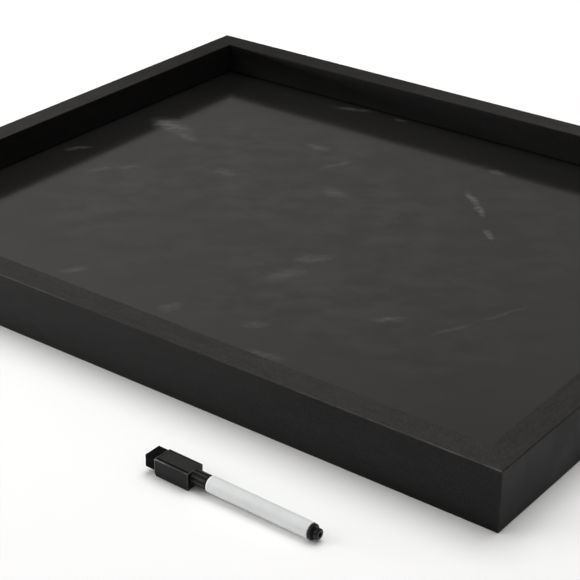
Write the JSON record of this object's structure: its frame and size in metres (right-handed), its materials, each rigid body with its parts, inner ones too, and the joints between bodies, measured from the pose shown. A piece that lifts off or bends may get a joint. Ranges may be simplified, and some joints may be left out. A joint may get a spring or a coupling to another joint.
{
  "type": "dry-erase board",
  "caption": "Deep-framed gloss black dry-erase board with recessed keyhole hangers, lying on its back, and its own capped marker with an eraser on the cap.",
  "frame": {"origin": "middle of the floor area that board and marker cover together, on the plane that they lie on", "axes": "+X along the board's long side, +Y from the lower (front) rail to the upper (back) rail, +Z out of the writing face"},
  "size_m": [0.533, 0.499, 0.0375],
  "materials": {
    "frame_paint": "satin black paint on fibreboard moulding",
    "writing_lacquer": "gloss black lacquer, wiped with faint marker haze",
    "fibreboard": "raw brown hardboard",
    "zinc_steel": "zinc plated",
    "barrel_plastic": "white moulded plastic",
    "black_plastic": "satin black moulded plastic",
    "inked_fibre": "ink-soaked fibre",
    "core_fibre": "bonded fibre",
    "felt": "pressed black felt",
    "ferrite": "dull dark grey magnet"
  },
  "bodies": {
    "board": {"rail_front": "frame_paint", "rail_right": "frame_paint", "rail_back": "frame_paint", "rail_left": "frame_paint", "corner_v_nails": "zinc_steel", "writing_sheet": "writing_lacquer", "core_panel": "fibreboard", "panel_points": "zinc_steel", "keyhole_plate_left": "zinc_steel", "keyhole_plate_right": "zinc_steel", "keyhole_screws": "zinc_steel"},
    "marker": {"marker_barrel": "barrel_plastic", "marker_nose": "black_plastic", "marker_nib": "inked_fibre", "marker_ink_core": "core_fibre", "marker_end_plug": "black_plastic"},
    "cap": {"marker_cap": "black_plastic", "cap_eraser": "felt", "cap_magnet": "ferrite"}
  },
  "joints": [
    {"name": "marker_lift", "type": "slide", "parent": "board", "child": "marker", "axis": [0, 0, 1], "range_m": [0, 0.15]},
    {"name": "cap_pull", "type": "slide", "parent": "marker", "child": "cap", "axis": [-0.9998, 0, 0.0202], "range_m": [0, 0.04]}
  ]
}
